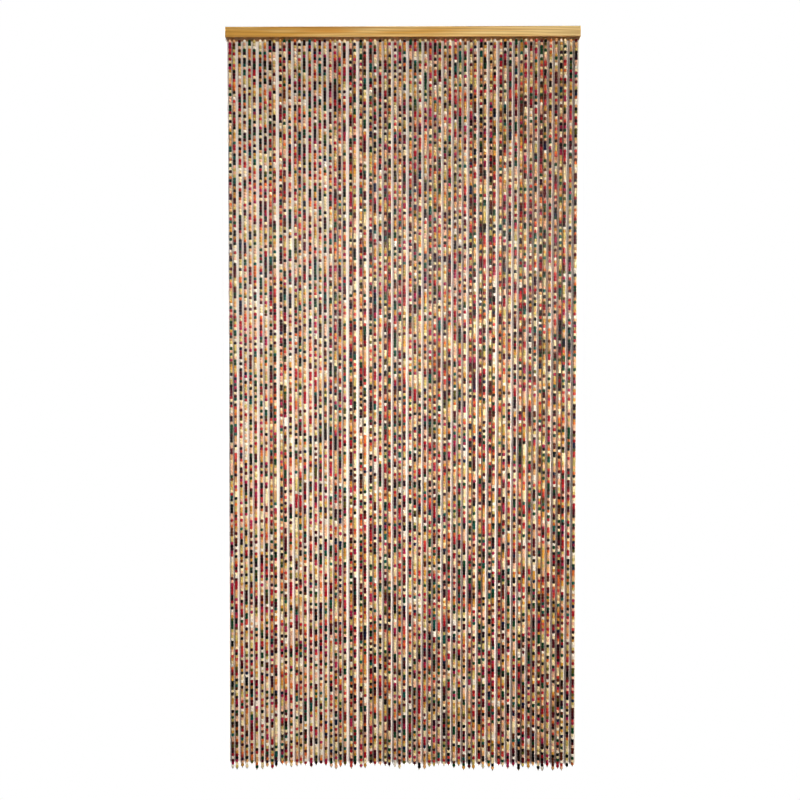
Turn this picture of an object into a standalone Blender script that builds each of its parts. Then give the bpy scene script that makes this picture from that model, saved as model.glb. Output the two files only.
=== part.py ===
"""Bead curtain with a wooden rail.

A square wooden rail is fixed to the wall above a doorway. Seventy cords strung with
wooden beads hang from its underside, each a little off the even spacing, each a little
longer or shorter than the next, and each nearly plumb.

The strands are plain four-sided bars here, at the real length and at the beads' width.
Each group of seven hangs from one narrow strip that lies close under the rail, in place
of the cord ends that are fixed into the wood.

Metres, +Z up, +Y towards the wall. The origin is the centre of the rail's back face.
"""

import math
import random

import bmesh
import bpy

# The rail, a square bar with softened edges
RAIL_WIDTH = 0.950
RAIL_DEPTH = 0.028
RAIL_HEIGHT = 0.028
RAIL_EDGE = 0.0012
RAIL_EDGE_SEGMENTS = 3

# The strands: how many, how they are grouped, and how far apart their roots are
STRAND_COUNT = 70
STRANDS_PER_GROUP = 7
STRAND_PITCH = 0.0135
STRAND_Y = -RAIL_DEPTH / 2.0

# The beads that set a strand's width and length
BEAD_DIAMETER = 0.0078
BEAD_LENGTH = 0.00794
BEAD_LENGTH_SPREAD = 0.000015
BEADS_MIN = 248
BEADS_MAX = 249
CORD_SHOWING_MIN = 0.0010
CORD_SHOWING_MAX = 0.0030

# How unevenly the strands hang
SPREAD_SEED = 4102
PAIR_SHIFT_MAX = 0.0009
ROOT_SHIFT = 0.0016
ROOT_GAP_MIN = 0.0094
LEAN_ACROSS = 0.00045
LEAN_DEEP = 0.0015
SWAY_DEEP = 0.0006
SWAY_TURNS = 1.5
STRAIGHT_TOP = 0.0200
STATION_COUNT = 8

# The strip that a group of strands is rooted in
STRIP_DEPTH = 0.0080
STRIP_HEIGHT = 0.0030
GAP = 0.0003
WELD_DISTANCE = 0.000001


def clear_scene():
    """Remove every object, so that the file can be run again."""
    for item in list(bpy.data.objects):
        bpy.data.objects.remove(item, do_unlink=True)


def new_collection(name):
    """Return a new collection, linked to the scene."""
    collection = bpy.data.collections.new(name)
    bpy.context.scene.collection.children.link(collection)
    return collection


def new_material(name, color, roughness):
    """Return a plain material with one colour and roughness."""
    material = bpy.data.materials.new(name)
    material.use_nodes = True
    shader = material.node_tree.nodes["Principled BSDF"]
    shader.inputs["Base Color"].default_value = (*color, 1.0)
    shader.inputs["Roughness"].default_value = roughness
    shader.inputs["Metallic"].default_value = 0.0
    return material


def add_box(name, collection, size, centre):
    """Return a box of the given size, with its scale already in its mesh."""
    mesh = bpy.data.meshes.new(name)
    shape = bmesh.new()
    bmesh.ops.create_cube(shape, size=1.0)
    bmesh.ops.scale(shape, vec=size, verts=shape.verts)
    shape.to_mesh(mesh)
    shape.free()
    box = bpy.data.objects.new(name, mesh)
    box.location = centre
    collection.objects.link(box)
    return box


def build_rail(collection):
    """Build the square rail, with its back face on the plane Y = 0."""
    size = (RAIL_WIDTH, RAIL_DEPTH, RAIL_HEIGHT)
    rail = add_box("rail", collection, size, (0.0, -RAIL_DEPTH / 2.0, 0.0))
    edge = rail.modifiers.new("softened edges", "BEVEL")
    edge.width = RAIL_EDGE
    edge.segments = RAIL_EDGE_SEGMENTS
    rail.data.materials.append(new_material("rail_wood", (0.62, 0.37, 0.10), 0.45))
    return rail


def strand_roots():
    """Return where each cord leaves the rail, from left to right.

    The roots sit in loose pairs: even and odd strands shift towards each other by a
    chance amount, and none comes so close that its beads would rub the next ones.
    """
    chance = random.Random(SPREAD_SEED)
    roots = []
    for index in range(STRAND_COUNT):
        towards_partner = 1.0 if index % 2 == 0 else -1.0
        root = STRAND_PITCH * (index - (STRAND_COUNT - 1) / 2.0)
        root += towards_partner * chance.uniform(0.0, PAIR_SHIFT_MAX)
        root += chance.uniform(-ROOT_SHIFT, ROOT_SHIFT)
        if roots:
            root = max(root, roots[-1] + ROOT_GAP_MIN)
        roots.append(root)
    return roots


def strand_path(index, root):
    """Return the points of one strand's centre line, from inside its strip to its end."""
    chance = random.Random(SPREAD_SEED + 1 + index)
    cord_showing = chance.uniform(CORD_SHOWING_MIN, CORD_SHOWING_MAX)
    bead_length = BEAD_LENGTH + chance.uniform(-BEAD_LENGTH_SPREAD, BEAD_LENGTH_SPREAD)
    length = cord_showing + bead_length * chance.randint(BEADS_MIN, BEADS_MAX)
    lean_across = chance.uniform(-LEAN_ACROSS, LEAN_ACROSS)
    lean_deep = chance.uniform(-LEAN_DEEP, LEAN_DEEP)
    sway_deep = chance.uniform(-SWAY_DEEP, SWAY_DEEP)
    top = -RAIL_HEIGHT / 2.0
    points = [(root, STRAND_Y, top - GAP - STRIP_HEIGHT / 2.0)]
    for station in range(STATION_COUNT + 1):
        share = station / STATION_COUNT
        drop = STRAIGHT_TOP + (length - STRAIGHT_TOP) * share
        across = root + lean_across * share
        deep = lean_deep * share + sway_deep * math.sin(math.tau * SWAY_TURNS * share)
        points.append((across, STRAND_Y + deep, top - drop))
    return points


def build_bars(name, cutters, paths):
    """Return one mesh of four-sided bars along the given paths, with welded caps."""
    curve = bpy.data.curves.new(name, "CURVE")
    curve.dimensions = "3D"
    curve.bevel_depth = BEAD_DIAMETER / 2.0
    curve.bevel_resolution = 0
    curve.use_fill_caps = True
    for path in paths:
        spline = curve.splines.new("POLY")
        spline.points.add(len(path) - 1)
        for point, place in zip(spline.points, path):
            point.co = (*place, 1.0)
    guide = bpy.data.objects.new(name, curve)
    cutters.objects.link(guide)
    bpy.context.view_layer.update()
    evaluated = guide.evaluated_get(bpy.context.evaluated_depsgraph_get())
    mesh = bpy.data.meshes.new_from_object(evaluated)
    shape = bmesh.new()
    shape.from_mesh(mesh)
    bmesh.ops.remove_doubles(shape, verts=shape.verts, dist=WELD_DISTANCE)
    shape.to_mesh(mesh)
    shape.free()
    bars = bpy.data.objects.new(name + "_bars", mesh)
    bars.matrix_world = guide.matrix_world.copy()
    cutters.objects.link(bars)
    bpy.data.objects.remove(guide, do_unlink=True)
    bars.hide_render = True
    bars.display_type = "WIRE"
    return bars


def build_strand_group(number, roots, collection, cutters, material):
    """Build one strip and the strands that hang from it, joined into one solid."""
    first = number * STRANDS_PER_GROUP
    indices = range(first, first + STRANDS_PER_GROUP)
    name = f"strands_{number + 1:02d}"
    width = STRAND_PITCH * STRANDS_PER_GROUP
    middle = STRAND_PITCH * (first + (STRANDS_PER_GROUP - STRAND_COUNT) / 2.0)
    height = -RAIL_HEIGHT / 2.0 - GAP - STRIP_HEIGHT / 2.0
    size = (width - GAP, STRIP_DEPTH, STRIP_HEIGHT)
    strip = add_box(name, collection, size, (middle, STRAND_Y, height))
    bars = build_bars(name, cutters, [strand_path(index, roots[index]) for index in indices])
    union = strip.modifiers.new("strands", "BOOLEAN")
    union.operation = "UNION"
    union.solver = "EXACT"
    union.object = bars
    strip.data.materials.append(material)
    return strip


def main():
    """Build the rail and every group of strands."""
    clear_scene()
    parts = new_collection("bead_curtain")
    cutters = new_collection("bead_curtain_cutters")
    build_rail(parts)
    roots = strand_roots()
    bead_wood = new_material("bead_wood", (0.36, 0.20, 0.12), 0.4)
    for number in range(STRAND_COUNT // STRANDS_PER_GROUP):
        build_strand_group(number, roots, parts, cutters, bead_wood)


main()
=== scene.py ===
"""Looks of the bead curtain: its pine rail, its strands of dyed wooden beads and their cord ends.

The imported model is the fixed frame. The rail keeps its own solid and gets a wood finish. Each
group of plain strand bars is replaced by strands of turned beads and by their cord ends, on
the same centre lines. Metres, +Z up, +Y towards the wall.
"""

import logging
import math
import random
from dataclasses import dataclass
from enum import Enum
from typing import Callable, Iterable, Optional, Sequence, Union

import bmesh
import bpy
import numpy as np
from mathutils import Euler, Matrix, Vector


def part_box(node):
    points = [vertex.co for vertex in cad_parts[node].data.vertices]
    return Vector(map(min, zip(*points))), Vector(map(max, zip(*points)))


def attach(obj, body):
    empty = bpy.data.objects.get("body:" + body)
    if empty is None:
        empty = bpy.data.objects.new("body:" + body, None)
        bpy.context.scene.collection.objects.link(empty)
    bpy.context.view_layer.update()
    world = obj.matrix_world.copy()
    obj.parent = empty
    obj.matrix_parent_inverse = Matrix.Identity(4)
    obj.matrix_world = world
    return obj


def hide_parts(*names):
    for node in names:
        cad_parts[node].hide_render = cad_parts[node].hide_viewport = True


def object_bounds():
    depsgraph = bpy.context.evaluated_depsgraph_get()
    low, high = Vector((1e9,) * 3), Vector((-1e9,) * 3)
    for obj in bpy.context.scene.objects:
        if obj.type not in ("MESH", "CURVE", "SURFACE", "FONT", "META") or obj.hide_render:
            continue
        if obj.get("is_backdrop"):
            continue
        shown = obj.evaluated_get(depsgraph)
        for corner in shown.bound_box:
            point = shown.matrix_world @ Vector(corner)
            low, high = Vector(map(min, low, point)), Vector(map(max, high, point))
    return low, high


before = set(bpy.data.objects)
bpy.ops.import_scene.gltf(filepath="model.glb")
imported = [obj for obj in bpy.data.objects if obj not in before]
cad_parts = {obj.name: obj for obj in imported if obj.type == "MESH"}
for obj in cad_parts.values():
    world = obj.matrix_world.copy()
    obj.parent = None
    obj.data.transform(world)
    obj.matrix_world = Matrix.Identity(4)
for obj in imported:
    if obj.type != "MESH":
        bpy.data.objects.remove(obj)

LOG = logging.getLogger("bead_curtain")
BODY = "root"
WELD = 0.00001
LEVEL = 0.9  # a face whose normal's Z is past this is an end of a bead or a cord

Number = Union[int, float]
Colour = tuple[float, float, float]


class Socket:
    """An output of a shader node, with operators that add Math nodes."""

    def __init__(self, tree: "ShaderTree", output: bpy.types.NodeSocket) -> None:
        """Wrap one output of a node in a tree."""
        self.tree = tree
        self.output = output

    def math(self, operation: str, *values: Union["Socket", Number]) -> "Socket":
        """Return the result of a Math node.

        Args:
            operation: The Math node's operation.
            values: Its inputs, in order.

        Returns:
            The node's result.
        """
        return self.tree.node("ShaderNodeMath", {"operation": operation}, dict(enumerate(values)))

    def __add__(self, other: Union["Socket", Number]) -> "Socket":
        """Return the sum."""
        return self.math("ADD", self, other)

    __radd__ = __add__

    def __sub__(self, other: Union["Socket", Number]) -> "Socket":
        """Return the difference."""
        return self.math("SUBTRACT", self, other)

    def __rsub__(self, other: Union["Socket", Number]) -> "Socket":
        """Return the difference from a number."""
        return self.math("SUBTRACT", other, self)

    def __mul__(self, other: Union["Socket", Number]) -> "Socket":
        """Return the product."""
        return self.math("MULTIPLY", self, other)

    __rmul__ = __mul__

    def __pow__(self, other: Union["Socket", Number]) -> "Socket":
        """Return the power."""
        return self.math("POWER", self, other)

    def fraction(self) -> "Socket":
        """Return the part after the decimal point."""
        return self.math("FRACT", self)

    def clamped(self) -> "Socket":
        """Return the value held between 0 and 1."""
        return self.tree.node("ShaderNodeClamp", {}, {"Value": self})


class ShaderTree:
    """The node tree of one material."""

    def __init__(self, name: str) -> None:
        """Start a material with one Principled shader.

        Args:
            name: The material's name.
        """
        self.material = bpy.data.materials.new(name)
        self.material.use_nodes = True
        self.nodes = self.material.node_tree.nodes
        self.links = self.material.node_tree.links
        self.shader = self.nodes["Principled BSDF"]

    def node(
        self,
        kind: str,
        settings: Optional[dict] = None,
        values: Optional[dict] = None,
        output: Union[int, str] = 0,
    ) -> Socket:
        """Add one node.

        Args:
            kind: The node's type.
            settings: Its properties. A ramp takes stops as (place, colour) pairs.
            values: Its inputs by name or number, as sockets or plain values.
            output: The output that is wanted.

        Returns:
            The wanted output.
        """
        made = self.nodes.new(kind)
        for key, value in (settings or {}).items():
            if key == "stops":
                self.fill_ramp(made.color_ramp, value)
            elif key == "interpolation":
                made.color_ramp.interpolation = value
            else:
                setattr(made, key, value)
        for key, value in (values or {}).items():
            if isinstance(value, Socket):
                self.links.new(value.output, made.inputs[key])
            else:
                made.inputs[key].default_value = value
        return Socket(self, made.outputs[output])

    @staticmethod
    def fill_ramp(ramp: bpy.types.ColorRamp, stops: Sequence[tuple[float, Colour]]) -> None:
        """Give a colour ramp its stops.

        Args:
            ramp: The ramp, with its two first stops.
            stops: The place and colour of each stop.
        """
        while len(ramp.elements) < len(stops):
            ramp.elements.new(1.0)
        for element, (place, colour) in zip(ramp.elements, stops):
            element.position = place
            element.color = (*colour, 1.0)

    def attribute(self, name: str) -> Socket:
        """Return a number that the mesh carries under a name."""
        return self.node("ShaderNodeAttribute", {"attribute_name": name}, output="Fac")

    def object_place(self, scale: Sequence[float], shift: Sequence[float] = (0, 0, 0)) -> Socket:
        """Return Object coordinates, scaled and shifted.

        Args:
            scale: How many units of the pattern there are in a metre along each axis.
            shift: What is added, in pattern units.

        Returns:
            The vector.
        """
        place = self.node("ShaderNodeTexCoord", output="Object")
        return self.node("ShaderNodeMapping", {}, {0: place, "Scale": scale, "Location": shift})

    def blend(self, share: Union[Socket, Number], first: Union[Socket, Colour],
              second: Union[Socket, Colour]) -> Socket:
        """Return a mix of two colours.

        Args:
            share: How much of the second colour there is, from 0 to 1.
            first: The first colour.
            second: The second colour.

        Returns:
            The mixed colour.
        """
        values = {"Factor": share}
        for key, colour in ((6, first), (7, second)):
            values[key] = colour if isinstance(colour, Socket) else (*colour, 1.0)
        settings = {"data_type": "RGBA", "blend_type": "MIX", "clamp_factor": True}
        return self.node("ShaderNodeMix", settings, values, output=2)

    def shaded(self, colour: Socket, amount: Socket) -> Socket:
        """Return a colour made lighter or darker by a factor."""
        return self.node("ShaderNodeVectorMath", {"operation": "SCALE"},
                         {0: colour, "Scale": amount})

    def bump(self, height: Socket, distance: float, strength: float) -> Socket:
        """Return a surface normal that follows a height.

        Args:
            height: The height, from 0 to 1.
            distance: How far 1 stands proud, in metres.
            strength: How strongly it shows.

        Returns:
            The normal.
        """
        values = {"Height": height, "Distance": distance, "Strength": strength}
        return self.node("ShaderNodeBump", {}, values)

    def set_shader(self, **values: Union[Socket, Number, Sequence[float]]) -> None:
        """Set the Principled shader's inputs, with underscores for spaces in their names."""
        for key, value in values.items():
            target = self.shader.inputs[key.replace("_", " ")]
            if isinstance(value, Socket):
                self.links.new(value.output, target)
            else:
                target.default_value = value


@dataclass(frozen=True)
class Figure:
    """A smooth noise in the wood, and where on the object it is read."""

    scale: tuple[float, float, float]
    shift: tuple[float, float, float] = (0.0, 0.0, 0.0)
    detail: float = 2.0
    roughness: float = 0.5

    def read(self, tree: ShaderTree) -> Socket:
        """Return the noise, from 0 to 1.

        Args:
            tree: The nodes of the material that it goes into.

        Returns:
            The noise.
        """
        place = tree.object_place(self.scale, self.shift)
        values = {"Vector": place, "Scale": 1.0, "Detail": self.detail,
                  "Roughness": self.roughness}
        return tree.node("ShaderNodeTexNoise", {}, values)


def srgb(red: int, green: int, blue: int) -> Colour:
    """Return a linear colour from screen values of 0 to 255."""
    return tuple(((value / 255.0 + 0.055) / 1.055) ** 2.4 if value > 10 else value / 3294.6
                 for value in (red, green, blue))


class Dye(Enum):
    """The colours that the beads are dyed or left in, each with its share of the beads."""

    IVORY = (srgb(244, 236, 222), 6)
    CREAM = (srgb(245, 228, 186), 16)
    PEACH = (srgb(238, 194, 164), 11)
    TAN = (srgb(224, 178, 127), 10)
    KHAKI = (srgb(212, 193, 122), 10)
    OCHRE = (srgb(214, 163, 78), 9)
    ORANGE = (srgb(218, 126, 66), 5)
    CORAL = (srgb(204, 80, 70), 5)
    RED = (srgb(168, 28, 44), 9)
    BURGUNDY = (srgb(90, 10, 26), 9)
    RASPBERRY = (srgb(174, 46, 88), 5)
    PLUM = (srgb(54, 8, 32), 3)
    CHESTNUT = (srgb(102, 48, 20), 5)
    ESPRESSO = (srgb(36, 14, 6), 6)
    BLACK = (srgb(5, 4, 3), 7)
    GREEN = (srgb(12, 70, 38), 7)
    TEAL = (srgb(10, 92, 82), 3)
    OLIVE = (srgb(98, 94, 34), 3)
    NAVY = (srgb(14, 28, 64), 2)

    @property
    def colour(self) -> Colour:
        """The dye's colour on wood."""
        return self.value[0]

    @property
    def share(self) -> float:
        """How common the dye is, against the sum of all shares."""
        return self.value[1]


@dataclass(frozen=True)
class BeadLacquer:
    """Thin satin lacquer over dyed or natural turned wood."""

    grain: Figure = Figure((900.0, 900.0, 160.0), detail=3.0, roughness=0.6)
    tone_low: float = 0.80
    tone_range: float = 0.32
    # painted shade: how much darker each bead is painted towards its rims, where beads meet
    painted_rim_shade: float = 0.30
    roughness: float = 0.25
    roughness_spread: float = 0.13
    grain_height: float = 0.00002
    grain_strength: float = 0.5
    gloss: float = 0.3

    def material(self) -> bpy.types.Material:
        """Build the material. It reads the beads' dye, tone, grain and belly numbers, and paints
        shade towards each bead's rims.
        """
        tree = ShaderTree("bead_wood")
        dyes = list(Dye)
        stops = [(index / len(dyes), dye.colour) for index, dye in enumerate(dyes)]
        ramp = {"interpolation": "CONSTANT", "stops": stops}
        colour = tree.node("ShaderNodeValToRGB", ramp, {0: tree.attribute("dye")})
        streaks = self.grain.read(tree)
        tone = self.tone_low + self.tone_range * tree.attribute("tone")
        tone = tone + tree.attribute("grain") * (streaks - 0.5)
        # painted shade: darker towards the rims, where the belly number falls to 0
        tone = tone * (1.0 - self.painted_rim_shade * (1.0 - tree.attribute("belly")))
        tree.set_shader(
            Base_Color=tree.shaded(colour, tone),
            Roughness=self.roughness + self.roughness_spread * streaks,
            Normal=tree.bump(streaks, self.grain_height, self.grain_strength),
            Specular_IOR_Level=self.gloss,
        )
        return tree.material


@dataclass(frozen=True)
class HoneyPine:
    """Clear lacquer over planed softwood, with growth rings round a heart below the rail.

    A long orange flame of grain stands out left of the middle, where a ring grazes the face. The
    underside is painted darker as painted shade.
    """

    pale: Colour = srgb(236, 212, 152)
    warm: Colour = srgb(212, 168, 84)
    dark: Colour = srgb(158, 114, 50)
    # painted shade: the darker, more saturated colour that the rail's underside is painted
    painted_under_shade: Colour = srgb(186, 128, 48)
    flame: Colour = srgb(206, 150, 60)
    flame_x: float = -0.200
    flame_z: float = 0.002
    flame_length: float = 0.095
    flame_height: float = 0.0085
    flame_share: float = 0.75
    flame_waver: float = 1.4
    ring_width: float = 0.0052
    ring_drift: float = 0.9
    heart_y: float = 0.022
    heart_z: float = -0.046
    heart_lean: float = 0.014
    waver_deep: float = 0.0160
    waver_high: float = 0.0040
    slow: Figure = Figure((2.6, 14.0, 14.0), (3.1, 0.4, 7.7), 1.0)
    wave: Figure = Figure((7.0, 60.0, 60.0), (1.7, 5.2, 0.3))
    fibres: Figure = Figure((9.0, 900.0, 900.0), detail=3.0, roughness=0.65)
    streaks: Figure = Figure((3.0, 260.0, 260.0), (2.0, 9.0, 4.0), roughness=0.6)
    patches: Figure = Figure((4.0, 90.0, 90.0), (8.0, 2.0, 4.0))
    patch_contrast: float = 2.6
    patch_from: float = 0.8
    # paler towards +X: partly the wood's own tone, partly painted light from the lamps on that
    # side
    paler_and_painted_light_along: float = 1.2
    late_sharpness: float = 2.2
    late_share: float = 0.55
    streak_contrast: float = 4.0
    streak_from: float = 2.1
    streak_share: float = 0.65
    tone_low: float = 0.80
    tone_range: float = 0.40
    under_from: float = -0.0126
    under_blur: float = 0.0008
    under_shade_share: float = 0.85
    roughness: float = 0.34
    roughness_spread: float = 0.18
    late_height: float = 0.4
    grain_height: float = 0.00006
    grain_strength: float = 0.5
    coat: float = 0.2
    coat_roughness: float = 0.25

    def material(self) -> bpy.types.Material:
        """Build the material. The rings are round a nearly level line along X."""
        tree = ShaderTree("rail_wood")
        parts = {"Vector": tree.node("ShaderNodeTexCoord", output="Object")}
        along = tree.node("ShaderNodeSeparateXYZ", {}, parts, "X")
        deep = tree.node("ShaderNodeSeparateXYZ", {}, parts, "Y")
        high = tree.node("ShaderNodeSeparateXYZ", {}, parts, "Z")
        slow = self.slow.read(tree)
        wave = self.wave.read(tree)
        fibres = self.fibres.read(tree)
        streaks = self.streaks.read(tree)
        off_y = deep - self.heart_y + self.waver_deep * (slow - 0.5)
        off_z = high - self.heart_z + self.heart_lean * along + self.waver_high * (wave - 0.5)
        reach = (off_y * off_y + off_z * off_z) ** 0.5
        ring = (reach * (1.0 / self.ring_width) + self.ring_drift * slow).fraction()
        late = (ring ** self.late_sharpness).clamped()
        patches = self.patches.read(tree) * self.patch_contrast - self.patch_from
        # paler towards +X: partly the wood's own tone, partly painted light from the lamps on that
        # side
        patches = (patches - self.paler_and_painted_light_along * along).clamped()
        streaked = (streaks * self.streak_contrast - self.streak_from).clamped()
        colour = tree.blend(patches, self.pale, self.warm)
        colour = tree.blend((late * self.late_share).clamped(), colour, self.dark)
        colour = tree.blend(streaked * self.streak_share, colour, self.dark)
        off_x = (along - self.flame_x) * (1.0 / self.flame_length)
        off_up = (high - self.flame_z) * (1.0 / self.flame_height)
        off_up = off_up + self.flame_waver * (wave - 0.5)
        figure = (1.0 - off_x * off_x - off_up * off_up).clamped()
        colour = tree.blend(figure * self.flame_share, colour, self.flame)
        colour = tree.shaded(colour, self.tone_low + self.tone_range * fibres)
        # painted shade: below under_from the wood is blended towards a darker colour on the
        # underside
        under = ((self.under_from - high) * (1.0 / self.under_blur)).clamped()
        colour = tree.blend(under * self.under_shade_share, colour, self.painted_under_shade)
        proud = fibres - self.late_height * late
        tree.set_shader(
            Base_Color=colour,
            Roughness=self.roughness + self.roughness_spread * fibres,
            Normal=tree.bump(proud, self.grain_height, self.grain_strength),
            Coat_Weight=self.coat,
            Coat_Roughness=self.coat_roughness,
        )
        return tree.material


@dataclass(frozen=True)
class CordYarn:
    """Undyed twisted cord."""

    colour: Colour = srgb(226, 212, 188)
    dark: Colour = srgb(150, 130, 104)
    twist_pitch: float = 0.0011
    twist_scale: float = 0.32
    twist_waver: float = 1.0
    twist_height: float = 0.0001
    twist_strength: float = 0.6
    roughness: float = 0.85

    def material(self) -> bpy.types.Material:
        """Build the material, with a fine slanting twist."""
        tree = ShaderTree("cord_yarn")
        turns = 1.0 / self.twist_pitch
        lay = tree.node(
            "ShaderNodeTexWave",
            {"wave_type": "BANDS", "bands_direction": "DIAGONAL"},
            {
                "Vector": tree.object_place((turns, turns, turns)),
                "Scale": self.twist_scale,
                "Distortion": self.twist_waver,
            },
            "Fac",
        )
        tree.set_shader(
            Base_Color=tree.blend(lay, self.dark, self.colour),
            Roughness=self.roughness,
            Normal=tree.bump(lay, self.twist_height, self.twist_strength),
        )
        return tree.material


@dataclass(frozen=True)
class StudioWhite:
    """Matt white boards that let a camera behind them see through."""

    colour: Colour = (0.88, 0.88, 0.88)
    floor_colour: Colour = (0.30, 0.30, 0.30)
    floor_glow: float = 0.70
    glow: float = 1.0
    low_glow: float = 0.04
    low_glow_from: float = -0.80

    def paint(self, tree: ShaderTree) -> bpy.types.Material:
        """Finish a board's material: white in front, clear from behind.

        Args:
            tree: The material's nodes.

        Returns:
            The material.
        """
        tree.set_shader(Base_Color=(*self.colour, 1.0), Roughness=1.0, Specular_IOR_Level=0.0)
        behind = tree.node("ShaderNodeNewGeometry", output="Backfacing")
        clear = tree.node("ShaderNodeBsdfTransparent")
        front = Socket(tree, tree.shader.outputs[0])
        mixed = tree.node("ShaderNodeMixShader", {}, {0: behind, 1: front, 2: clear})
        tree.links.new(mixed.output, tree.nodes["Material Output"].inputs["Surface"])
        return tree.material

    def lit(self, name: str, reflected: Colour, level: float) -> bpy.types.Material:
        """Build a board's white that also glows evenly, near and far.

        Args:
            name: The material's name.
            reflected: The colour that it gives back of the lamps' light.
            level: The grey of its own glow, from 0 to 1.

        Returns:
            The material.
        """
        tree = ShaderTree(name)
        self.paint(tree)
        tree.set_shader(
            Base_Color=(*reflected, 1.0),
            Emission_Color=(level, level, level, 1.0),
            Emission_Strength=self.glow,
        )
        return tree.material

    def floor(self) -> bpy.types.Material:
        """Build the floor's pale white, lit evenly near and far."""
        return self.lit("floor_white", self.floor_colour, self.floor_glow)

    def backdrop(self) -> bpy.types.Material:
        """Build the backdrop's lit white, which gives back no lamp's light."""
        return self.lit("backdrop_white", (0.0, 0.0, 0.0), 1.0)

    def wall(self, low: Sequence[float], high: Sequence[float], edge: float
             ) -> bpy.types.Material:
        """Build the wall's white, which fades into the lit backdrop outside a rectangle.

        Inside the rectangle, a faint glow grows towards the foot.

        Args:
            low: The left, lower corner of the rectangle that the curtain hangs in front of.
            high: The right, upper corner.
            edge: How wide the fading edge round it is.

        Returns:
            The material.
        """
        tree = ShaderTree("wall_white")
        place = {"Vector": tree.node("ShaderNodeTexCoord", output="Object")}
        along = tree.node("ShaderNodeSeparateXYZ", {}, place, "X")
        upward = tree.node("ShaderNodeSeparateXYZ", {}, place, "Z")
        sharp = 1.0 / edge
        outside = (low[0] - along) * sharp
        for beyond in (along - high[0], low[1] - upward, upward - high[1]):
            outside = outside.math("MAXIMUM", outside, beyond * sharp)
        foot = (self.low_glow_from - upward) * (self.low_glow / (self.low_glow_from - low[1]))
        light = outside.math("MAXIMUM", outside, foot).clamped()
        tree.set_shader(
            Emission_Color=tree.blend(light, (0.0, 0.0, 0.0), (1.0, 1.0, 1.0)),
            Emission_Strength=self.glow,
        )
        return self.paint(tree)


def deselect_all() -> None:
    """Leave object mode and deselect every object."""
    if bpy.context.object is not None and bpy.context.object.mode != "OBJECT":
        bpy.ops.object.mode_set(mode="OBJECT")
    bpy.ops.object.select_all(action="DESELECT")


def make_active(item: bpy.types.Object) -> None:
    """Select one object alone and make it the active one."""
    deselect_all()
    item.select_set(True)
    bpy.context.view_layer.objects.active = item


def pick_faces(item: bpy.types.Object, wanted: Callable[[bmesh.types.BMFace], bool]) -> None:
    """Select, in edit mode, the faces that a test says yes to, and nothing else.

    Args:
        item: The mesh object in edit mode.
        wanted: The test.
    """
    bpy.ops.mesh.select_mode(type="FACE")
    bpy.ops.mesh.select_all(action="DESELECT")
    shape = bmesh.from_edit_mesh(item.data)
    for face in shape.faces:
        if wanted(face):
            face.select = True
    bmesh.update_edit_mesh(item.data)


def twin(item: bpy.types.Object, name: str) -> bpy.types.Object:
    """Return a copy of an object with a mesh of its own, linked to the scene.

    Args:
        item: The object to copy.
        name: The copy's name.

    Returns:
        The copy.
    """
    copy = item.copy()
    copy.data = item.data.copy()
    copy.name = name
    bpy.context.scene.collection.objects.link(copy)
    return copy


def joined(items: Sequence[bpy.types.Object], name: str) -> bpy.types.Object:
    """Join objects into the first of them.

    Args:
        items: The mesh objects.
        name: The name of the joined object.

    Returns:
        The joined object.
    """
    make_active(items[0])
    for item in items:
        item.select_set(True)
    bpy.ops.object.join()
    whole = bpy.context.object
    whole.name = name
    whole.data.name = name
    return whole


def points_of(mesh: bpy.types.Mesh) -> np.ndarray:
    """Return a mesh's points as rows of three numbers."""
    flat = np.empty(len(mesh.vertices) * 3)
    mesh.vertices.foreach_get("co", flat)
    return flat.reshape(-1, 3)


def move_points(mesh: bpy.types.Mesh, points: np.ndarray) -> None:
    """Give a mesh's points new places."""
    mesh.vertices.foreach_set("co", points.astype(np.float32).ravel())
    mesh.update()


def add_numbers(mesh: bpy.types.Mesh, name: str, domain: str, values: np.ndarray) -> None:
    """Store one number for each face or point of a mesh.

    Args:
        mesh: The mesh.
        name: The name that materials read it by.
        domain: FACE or POINT.
        values: The numbers.
    """
    layer = mesh.attributes.new(name, "FLOAT", domain)
    layer.data.foreach_set("value", values.astype(np.float32))


@dataclass
class Strand:
    """Where one strand hangs and how many beads it holds."""

    index: int
    root: float
    top: float
    plane: float
    straight_top: float
    cord_showing: float
    bead_length: float
    bead_count: int
    lean_across: float
    lean_deep: float
    sway_deep: float
    sway_turns: float

    @property
    def length(self) -> float:
        """How far the strand reaches below the rail."""
        return self.cord_showing + self.bead_length * self.bead_count

    def centre(self, drops: np.ndarray) -> tuple[np.ndarray, np.ndarray]:
        """Return the centre line's X and Y at distances below the rail.

        Args:
            drops: The distances.

        Returns:
            X and Y for each distance.
        """
        shares = np.clip((drops - self.straight_top) / (self.length - self.straight_top), 0, None)
        across = self.root + self.lean_across * shares
        sway = self.sway_deep * np.sin(math.tau * self.sway_turns * shares)
        return across, self.plane + self.lean_deep * shares + sway


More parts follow.
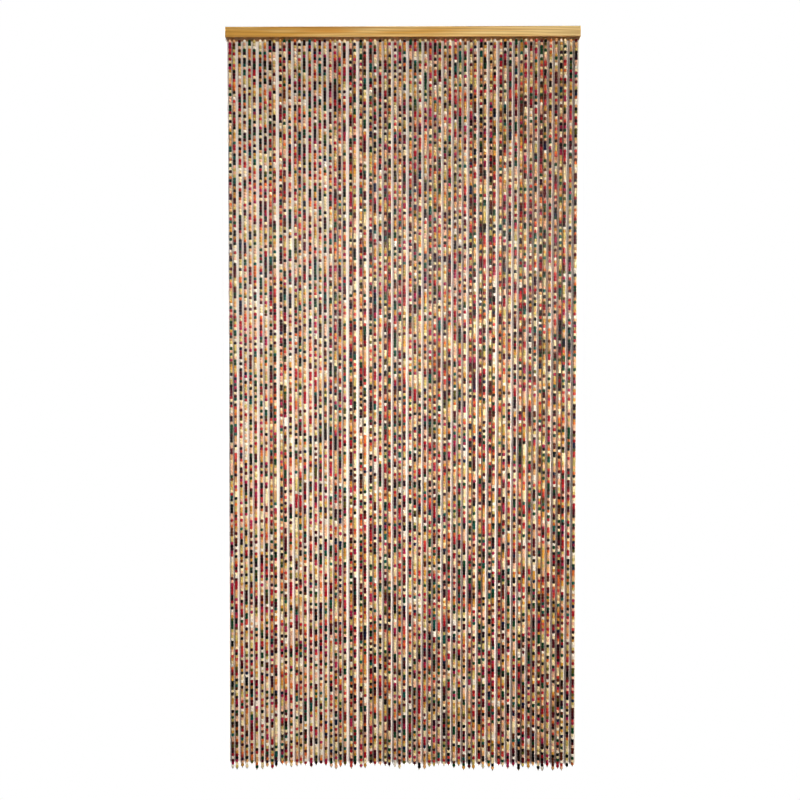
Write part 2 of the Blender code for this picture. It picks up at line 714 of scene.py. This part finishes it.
@dataclass
class Hanging:
    """How the seventy strands are spaced and how long they are, as in the solids."""

    count: int = 70
    group_size: int = 7
    pitch: float = 0.0135
    pair_shift_max: float = 0.0009
    root_shift: float = 0.0016
    root_gap_min: float = 0.0094
    cord_showing: tuple[float, float] = (0.0010, 0.0030)
    bead_length: float = 0.00794
    bead_length_spread: float = 0.000015
    bead_counts: tuple[int, int] = (248, 249)
    lean_across: float = 0.00045
    lean_deep: float = 0.0015
    sway_deep: float = 0.0006
    sway_turns: float = 1.5
    straight_top: float = 0.0200
    seed: int = 4102

    def roots(self) -> list[float]:
        """Return where each cord leaves the rail, from left to right."""
        chance = random.Random(self.seed)
        roots: list[float] = []
        for index in range(self.count):
            towards_partner = 1.0 if index % 2 == 0 else -1.0
            root = self.pitch * (index - (self.count - 1) / 2.0)
            root += towards_partner * chance.uniform(0.0, self.pair_shift_max)
            root += chance.uniform(-self.root_shift, self.root_shift)
            if roots:
                root = max(root, roots[-1] + self.root_gap_min)
            roots.append(root)
        return roots

    def strands(self) -> list[Strand]:
        """Return every strand, from left to right, under the rail's middle."""
        low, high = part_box("rail")
        made = []
        for index, root in enumerate(self.roots()):
            chance = random.Random(self.seed + 1 + index)
            made.append(Strand(
                index=index,
                root=root,
                top=low[2],
                plane=(low[1] + high[1]) / 2.0,
                straight_top=self.straight_top,
                cord_showing=chance.uniform(*self.cord_showing),
                bead_length=self.bead_length + chance.uniform(
                    -self.bead_length_spread, self.bead_length_spread
                ),
                bead_count=chance.randint(*self.bead_counts),
                lean_across=chance.uniform(-self.lean_across, self.lean_across),
                lean_deep=chance.uniform(-self.lean_deep, self.lean_deep),
                sway_deep=chance.uniform(-self.sway_deep, self.sway_deep),
                sway_turns=self.sway_turns,
            ))
        return made

    def groups(self) -> list[tuple[str, list[Strand]]]:
        """Return the strands of each CAD node, by the node's name."""
        strands = self.strands()
        return [
            (f"strands_{first // self.group_size + 1:02d}", strands[first:first + self.group_size])
            for first in range(0, self.count, self.group_size)
        ]


@dataclass
class BeadStrands:
    """Strands of turned wooden beads, each strand one closed skin that nips in between beads."""

    hanging: Hanging
    radius: float = 0.0039
    sides: int = 8
    shoulder_share: float = 0.17
    rim_share: float = 0.64
    size_low: float = 0.97
    size_high: float = 1.05
    length_spread: float = 0.06
    shift: float = 0.00014
    repeat_chance: float = 0.06
    natural_grain: float = 0.5
    dyed_grain: float = 0.25
    rim_reach: float = 0.001
    smooth_below: float = 60.0
    map_columns: int = 4
    map_rows: int = 63
    map_margin: float = 0.06
    map_cap: float = 0.3
    seed: int = 900

    def bead(self) -> bpy.types.Object:
        """Model one bead, open at both ends, hanging from the origin.

        Returns:
            The bead.
        """
        length = self.hanging.bead_length
        shoulder = length * self.shoulder_share
        deselect_all()
        bpy.ops.mesh.primitive_cylinder_add(
            vertices=self.sides,
            radius=self.radius,
            depth=length - 2.0 * shoulder,
            end_fill_type="NGON",
            location=(0.0, 0.0, -length / 2.0),
        )
        bead = bpy.context.object
        bpy.ops.object.transform_apply(location=True, rotation=True, scale=True)
        bpy.ops.object.mode_set(mode="EDIT")
        for way in (1.0, -1.0):
            pick_faces(bead, lambda face: face.normal.z * way > LEVEL)
            bpy.ops.mesh.extrude_region_move(
                TRANSFORM_OT_translate={"value": (0.0, 0.0, way * shoulder)}
            )
            bpy.ops.transform.resize(
                value=(self.rim_share, self.rim_share, 1.0),
                center_override=(0.0, 0.0, 0.0 if way > 0.0 else -length),
            )
        pick_faces(bead, lambda face: abs(face.normal.z) > LEVEL)
        bpy.ops.mesh.delete(type="ONLY_FACE")
        bpy.ops.mesh.select_mode(type="EDGE")
        bpy.ops.mesh.select_all(action="SELECT")
        shape = bmesh.from_edit_mesh(bead.data)
        for edge in shape.edges:
            edge.select = abs(edge.verts[0].co.z - edge.verts[1].co.z) < WELD
        bmesh.update_edit_mesh(bead.data)
        bpy.ops.mesh.mark_sharp()
        bpy.ops.object.mode_set(mode="OBJECT")
        return bead

    def string(self, bead: bpy.types.Object, strand: Strand) -> bpy.types.Object:
        """String copies of the bead on one strand.

        Args:
            bead: The bead to repeat.
            strand: The strand that they hang on.

        Returns:
            The strand's beads, closed at both ends and hanging in place.
        """
        item = twin(bead, f"string_{strand.index:02d}")
        make_active(item)
        row = item.modifiers.new("beads", "ARRAY")
        row.fit_type = "FIXED_COUNT"
        row.count = strand.bead_count
        row.use_relative_offset = False
        row.use_constant_offset = True
        row.constant_offset_displace = (0.0, 0.0, -self.hanging.bead_length)
        row.use_merge_vertices = True
        row.merge_threshold = WELD
        bpy.ops.object.modifier_apply(modifier=row.name)
        bpy.ops.object.mode_set(mode="EDIT")
        bpy.ops.mesh.select_all(action="SELECT")
        bpy.ops.mesh.fill_holes(sides=self.sides)
        bpy.ops.mesh.normals_make_consistent(inside=False)
        bpy.ops.object.mode_set(mode="OBJECT")
        self.mark(item.data, strand)
        self.hang(item.data, strand)
        return item

    def mark(self, mesh: bpy.types.Mesh, strand: Strand) -> None:
        """Give each bead its dye and tone, and its own patch of the texture map.

        Args:
            mesh: The strand's beads, still evenly spaced from the origin.
            strand: The strand.
        """
        points = points_of(mesh)
        steps = -points[:, 2] / self.hanging.bead_length
        # The belly number runs from 0 at a bead's rims to 1 on its belly; the lacquer paints shade
        # at the rims by it.
        from_rim = np.abs(steps - np.round(steps)) / self.shoulder_share
        add_numbers(mesh, "belly", "POINT", np.clip(from_rim, 0.0, 1.0))
        centres = np.empty(len(mesh.polygons) * 3)
        mesh.polygons.foreach_get("center", centres)
        centres = centres.reshape(-1, 3)
        beads = np.clip((-centres[:, 2] / self.hanging.bead_length).astype(int), 0,
                        strand.bead_count - 1)
        dyes, tones, grains = self.chances(strand)
        add_numbers(mesh, "dye", "FACE", dyes[beads])
        add_numbers(mesh, "tone", "FACE", tones[beads])
        add_numbers(mesh, "grain", "FACE", grains[beads])
        self.lay_out_map(mesh, strand, centres, beads)

    def chances(self, strand: Strand) -> tuple[np.ndarray, np.ndarray, np.ndarray]:
        """Draw the dye, tone and strength of grain of each bead of a strand.

        Args:
            strand: The strand.

        Returns:
            Three rows of numbers, one for each bead.
        """
        chance = random.Random(self.seed + strand.index)
        options = list(Dye)
        shares = [dye.share for dye in options]
        natural = (Dye.IVORY, Dye.CREAM, Dye.PEACH, Dye.TAN, Dye.KHAKI)
        dyes, tones, grains = [], [], []
        dye = options[0]
        for _ in range(strand.bead_count):
            if chance.random() > self.repeat_chance:
                dye = chance.choices(options, shares)[0]
            dyes.append((options.index(dye) + 0.5) / len(options))
            tones.append(chance.random())
            grains.append(self.natural_grain if dye in natural else self.dyed_grain)
        return np.array(dyes), np.array(tones), np.array(grains)

    def lay_out_map(self, mesh: bpy.types.Mesh, strand: Strand, centres: np.ndarray,
                    beads: np.ndarray) -> None:
        """Lay each bead's skin on its own cell of a map that its group of strands shares.

        A strand fills a few columns, bead under bead, and its two end caps take spare cells.

        Args:
            mesh: The strand's beads, still evenly spaced from the origin.
            strand: The strand.
            centres: The faces' centres.
            beads: The number of the bead that each face is on.
        """
        points = points_of(mesh)
        corner_points = np.empty(len(mesh.loops), dtype=int)
        mesh.loops.foreach_get("vertex_index", corner_points)
        sizes = np.empty(len(mesh.polygons), dtype=int)
        mesh.polygons.foreach_get("loop_total", sizes)
        faces = np.repeat(np.arange(len(sizes)), sizes)
        places = points[corner_points]
        sector = math.tau / self.sides
        face_turn = np.mod(np.arctan2(centres[:, 1], centres[:, 0]), math.tau)[faces]
        turn = np.mod(np.arctan2(places[:, 1], places[:, 0]), math.tau)
        turn = np.where(turn - face_turn > math.pi, turn - math.tau, turn)
        turn = np.where(face_turn - turn > math.pi, turn + math.tau, turn)
        around = np.clip((turn + sector / 2.0) / (math.tau + sector), 0.0, 1.0)
        down = -places[:, 2] / self.hanging.bead_length - beads[faces]
        cap = (sizes > 4)[faces]
        cell = np.where(cap, self.map_columns * self.map_rows - 1 - (beads > 0)[faces],
                        beads[faces])
        spread = self.map_cap / self.radius / self.rim_share
        around = np.where(cap, 0.5 + places[:, 0] * spread, around)
        down = np.where(cap, 0.5 + places[:, 1] * spread, down)
        across = strand.index % self.hanging.group_size * self.map_columns
        across = across + cell // self.map_rows
        columns = self.hanging.group_size * self.map_columns
        inner = self.map_margin + (1.0 - 2.0 * self.map_margin) * around
        flat = np.empty((len(places), 2))
        flat[:, 0] = (across + inner) / columns
        flat[:, 1] = 1.0 - (cell % self.map_rows + down) / self.map_rows
        while mesh.uv_layers:
            mesh.uv_layers.remove(mesh.uv_layers[0])
        layer = mesh.uv_layers.new(name="OFBake")
        layer.data.foreach_set("uv", flat.astype(np.float32).ravel())

    def hang(self, mesh: bpy.types.Mesh, strand: Strand) -> None:
        """Make the beads a little unlike and hang them on the strand's centre line.

        Args:
            mesh: The strand's beads, evenly spaced from the origin.
            strand: The strand.
        """
        chance = np.random.default_rng(self.seed + strand.index)
        count = strand.bead_count
        lengths = 1.0 + chance.uniform(-self.length_spread, self.length_spread, count)
        lengths *= strand.bead_length * count / lengths.sum()
        starts = np.concatenate(([0.0], np.cumsum(lengths)))
        girths = chance.uniform(self.size_low, self.size_high, count)
        shifts = chance.uniform(-self.shift, self.shift, (count, 2))
        points = points_of(mesh)
        steps = -points[:, 2] / self.hanging.bead_length
        beads = np.clip(np.floor(steps + WELD).astype(int), 0, count - 1)
        above = np.clip(np.round(steps).astype(int) - 1, 0, count - 1)
        at_rim = np.abs(steps - np.round(steps)) < self.rim_reach
        girth = np.where(at_rim, (girths[beads] + girths[above]) / 2.0, girths[beads])
        shift = np.where(at_rim[:, None], (shifts[beads] + shifts[above]) / 2.0, shifts[beads])
        drops = strand.cord_showing + starts[beads] + (steps - beads) * lengths[beads]
        across, deep = strand.centre(drops)
        placed = np.empty_like(points)
        placed[:, 0] = across + points[:, 0] * girth + shift[:, 0]
        placed[:, 1] = deep + points[:, 1] * girth + shift[:, 1]
        placed[:, 2] = strand.top - drops
        move_points(mesh, placed)

    def build(self, finish: bpy.types.Material) -> list[bpy.types.Object]:
        """Build one piece of beads for each group of strands.

        Args:
            finish: The beads' material.

        Returns:
            The pieces.
        """
        bead = self.bead()
        pieces = []
        for node, strands in self.hanging.groups():
            piece = joined([self.string(bead, strand) for strand in strands],
                           node.replace("strands", "beads"))
            bpy.ops.object.shade_smooth_by_angle(angle=math.radians(self.smooth_below))
            piece.data.materials.clear()
            piece.data.materials.append(finish)
            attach(piece, BODY)
            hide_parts(node)
            pieces.append(piece)
        bpy.data.objects.remove(bead, do_unlink=True)
        return pieces


@dataclass
class CordEnds:
    """The bare cord above the first bead, and the knot and tail under the last one."""

    hanging: Hanging
    cord_radius: float = 0.0007
    into_rail: float = 0.0010
    into_bead: float = 0.0015
    tie_girth: float = 2.0
    knot_radius: float = 0.0019
    knot_drop: float = 0.0010
    knot_rings: int = 6
    tail_from: float = 0.6
    tail_length: tuple[float, float] = (0.0010, 0.0024)
    tail_stray: float = 0.0006
    tail_size: tuple[float, float, float] = (0.7, 0.7, 0.4)
    smooth_below: float = 50.0
    sides: int = 8
    seed: int = 700

    def top_cord(self, strand: Strand) -> bpy.types.Object:
        """Model the cord between the rail and the first bead, thicker where it is tied.

        Args:
            strand: The strand.

        Returns:
            The cord.
        """
        reach = self.into_rail + strand.cord_showing + self.into_bead
        bpy.ops.mesh.primitive_cylinder_add(
            vertices=self.sides,
            radius=self.cord_radius,
            depth=reach,
            location=(strand.root, strand.plane, strand.top + self.into_rail - reach / 2.0),
        )
        cord = bpy.context.object
        bpy.ops.object.mode_set(mode="EDIT")
        pick_faces(cord, lambda face: face.normal.z < -LEVEL)
        middle = strand.top - strand.cord_showing
        bpy.ops.transform.resize(
            value=(self.tie_girth, self.tie_girth, 1.0),
            center_override=(strand.root, strand.plane, middle),
        )
        bpy.ops.object.mode_set(mode="OBJECT")
        return cord

    def end_knot(self, strand: Strand, chance: random.Random) -> bpy.types.Object:
        """Model the knot under the last bead, with its cut tail.

        Args:
            strand: The strand.
            chance: Where the tail's length is drawn from.

        Returns:
            The knot.
        """
        across, deep = (float(value) for value in strand.centre(np.array(strand.length)))
        middle = strand.top - strand.length - self.knot_drop
        bpy.ops.mesh.primitive_uv_sphere_add(
            segments=self.sides,
            ring_count=self.knot_rings,
            radius=self.knot_radius,
            location=(across, deep, middle),
        )
        knot = bpy.context.object
        bpy.ops.object.transform_apply(location=True, rotation=True, scale=True)
        bpy.ops.object.mode_set(mode="EDIT")
        under = middle - self.knot_radius * self.tail_from
        pick_faces(knot, lambda face: face.calc_center_median().z < under)
        tail = chance.uniform(*self.tail_length)
        aside = chance.uniform(-self.tail_stray, self.tail_stray)
        forward = chance.uniform(-self.tail_stray, self.tail_stray)
        bpy.ops.mesh.extrude_region_move(
            TRANSFORM_OT_translate={"value": (aside, forward, -tail)}
        )
        bpy.ops.transform.resize(
            value=self.tail_size, center_override=(across, deep, under - tail)
        )
        bpy.ops.object.mode_set(mode="OBJECT")
        return knot

    def build(self, finish: bpy.types.Material) -> list[bpy.types.Object]:
        """Build one piece of cord ends for each group of strands.

        Args:
            finish: The cord's material.

        Returns:
            The pieces.
        """
        pieces = []
        for node, strands in self.hanging.groups():
            ends = []
            for strand in strands:
                chance = random.Random(self.seed + strand.index)
                deselect_all()
                ends.append(self.top_cord(strand))
                deselect_all()
                ends.append(self.end_knot(strand, chance))
            piece = joined(ends, node.replace("strands", "cord_ends"))
            bpy.ops.object.transform_apply(location=True, rotation=True, scale=True)
            bpy.ops.object.shade_smooth_by_angle(angle=math.radians(self.smooth_below))
            piece.data.materials.clear()
            piece.data.materials.append(finish)
            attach(piece, BODY)
            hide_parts(node)
            pieces.append(piece)
        return pieces


@dataclass
class Rail:
    """The square pine rail, which keeps its solid from the frame."""

    node: str = "rail"

    def dress(self, finish: bpy.types.Material) -> bpy.types.Object:
        """Give the rail its wood.

        Args:
            finish: The rail's material.

        Returns:
            The rail.
        """
        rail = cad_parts[self.node]
        rail.data.materials.clear()
        rail.data.materials.append(finish)
        return rail


@dataclass(frozen=True)
class Lamp:
    """One soft square lamp, hidden from the camera itself."""

    name: str
    place: tuple[float, float, float]
    aim: tuple[float, float, float]
    size: float
    spread: float
    power: float
    colour: Colour = (1.0, 1.0, 1.0)

    def build(self) -> None:
        """Hang the lamp in its place, turned to its aim."""
        data = bpy.data.lights.new(self.name, "AREA")
        data.shape = "SQUARE"
        data.size = self.size
        data.energy = self.power
        data.spread = math.radians(self.spread)
        data.color = self.colour
        item = bpy.data.objects.new(self.name, data)
        item.location = self.place
        ahead = Vector(self.aim) - Vector(self.place)
        item.rotation_euler = ahead.to_track_quat("-Z", "Y").to_euler()
        item.visible_camera = False
        bpy.context.scene.collection.objects.link(item)


@dataclass
class Studio:
    """The camera, the lights, the white wall behind and the pale floor below."""

    sensor_width: float = 36.0
    lens: float = 36.19
    camera_place: tuple[float, float, float] = (0.0115, -2.1972, -0.9315)
    camera_pitch: float = -1.382
    camera_yaw: float = -0.475
    camera_roll: float = 0.035
    wall_gap: float = 0.0006
    wall_edge: float = 0.010
    ends_clear: float = 0.014
    floor_drop: float = 0.110
    board_size: float = 12.0
    contrast: float = 0.82
    lamps: tuple[Lamp, ...] = (
        Lamp("key", place=(1.20, -4.20, 0.08), aim=(0.1, 0.0, -1.10), size=0.45, spread=60.0,
             power=21.4, colour=(1.0, 0.93, 0.85)),
        Lamp("low", place=(1.20, -3.80, -1.60), aim=(0.1, 0.0, -1.75), size=0.40, spread=60.0,
             power=3.6, colour=(1.0, 0.93, 0.85)),
        Lamp("front", place=(0.10, -1.90, -0.75), aim=(-0.1, 0.0, -0.80), size=0.90,
             spread=120.0, power=1.2, colour=(1.0, 0.97, 0.93)),
        Lamp("left", place=(-0.60, -1.90, -0.50), aim=(-0.2, 0.0, -0.70), size=0.90,
             spread=120.0, power=7.8, colour=(0.98, 0.97, 1.0)),
        Lamp("back", place=(-0.80, 2.80, 0.60), aim=(0.0, 0.0, -1.00), size=2.40,
             spread=180.0, power=24.0),
        Lamp("top", place=(0.0, 0.50, 1.50), aim=(0.0, 0.0, 0.0), size=0.80, spread=90.0,
             power=3.0),
    )

    def camera(self) -> None:
        """Place the camera in front of the curtain, at half its height."""
        data = bpy.data.cameras.new("camera")
        data.lens = self.lens
        data.sensor_width = self.sensor_width
        item = bpy.data.objects.new("camera", data)
        item.location = self.camera_place
        turn = Euler((math.radians(90.0 + self.camera_pitch), 0.0,
                      math.radians(-self.camera_yaw))).to_matrix()
        roll = Euler((0.0, 0.0, math.radians(self.camera_roll))).to_matrix()
        item.rotation_euler = (turn @ roll).to_euler()
        bpy.context.scene.collection.objects.link(item)
        bpy.context.scene.camera = item

    def board(self, name: str, centre: Sequence[float], size: Sequence[float], upright: bool,
              finish: bpy.types.Material) -> bpy.types.Object:
        """Add one flat board to the stage, facing forward or up.

        Args:
            name: Its name.
            centre: Its middle.
            size: Its two sides.
            upright: True for a wall, False for a floor.
            finish: Its material.

        Returns:
            The board.
        """
        deselect_all()
        bpy.ops.mesh.primitive_plane_add(size=1.0)
        item = bpy.context.object
        item.name = name
        item.scale = (size[0], size[1], 1.0)
        item.rotation_euler.x = math.radians(90.0) if upright else 0.0
        item.location = centre
        bpy.ops.object.transform_apply(location=True, rotation=True, scale=True)
        item.data.materials.append(finish)
        item.visible_shadow = False
        item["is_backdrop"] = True
        return item

    def stage(self) -> None:
        """Set up the wall that takes the strands' shadows, the lit backdrop and the floor."""
        low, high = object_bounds()
        foot = low.z - self.floor_drop
        white = StudioWhite()
        lower, upper = (low.x, low.z + self.ends_clear), (high.x, high.z)
        width, height = (upper[axis] - lower[axis] + 2.0 * self.wall_edge for axis in (0, 1))
        plane = high.y + self.wall_gap
        self.board("wall", (0.0, plane, (lower[1] + upper[1]) / 2.0), (width, height), True,
                   white.wall(lower, upper, self.wall_edge))
        big = (self.board_size, self.board_size)
        for item in (
            self.board("backdrop", (0.0, plane + self.wall_gap, foot + self.board_size / 2.0),
                       big, True, white.backdrop()),
            self.board("floor", (0.0, 0.0, foot), big, False, white.floor()),
        ):
            item.visible_diffuse = False
            item.visible_glossy = False
            item.visible_transmission = False

    def build(self) -> None:
        """Set up the whole studio."""
        self.camera()
        self.stage()
        for lamp in self.lamps:
            lamp.build()
        world = bpy.data.worlds.new("studio")
        world.use_nodes = True
        world.node_tree.nodes["Background"].inputs["Color"].default_value = (1.0, 1.0, 1.0, 1.0)
        world.cycles_visibility.diffuse = False
        world.cycles_visibility.glossy = False
        bpy.context.scene.world = world
        bpy.context.scene.view_settings.view_transform = "Standard"
        bpy.context.scene.view_settings.gamma = self.contrast


def report(pieces: Iterable[bpy.types.Object]) -> None:
    """Log each piece's name and how many triangles it has."""
    for piece in pieces:
        triangles = sum(len(face.vertices) - 2 for face in piece.data.polygons)
        LOG.info("%s: %d triangles", piece.name, triangles)


def main() -> None:
    """Dress the rail, string the beads, tie the cords and set up the studio."""
    logging.basicConfig(level=logging.INFO, format="%(name)s %(message)s")
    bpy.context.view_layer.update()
    Studio().build()
    hanging = Hanging()
    report([Rail().dress(HoneyPine().material())])
    report(BeadStrands(hanging).build(BeadLacquer().material()))
    report(CordEnds(hanging).build(CordYarn().material()))


if __name__ == "__main__":
    main()
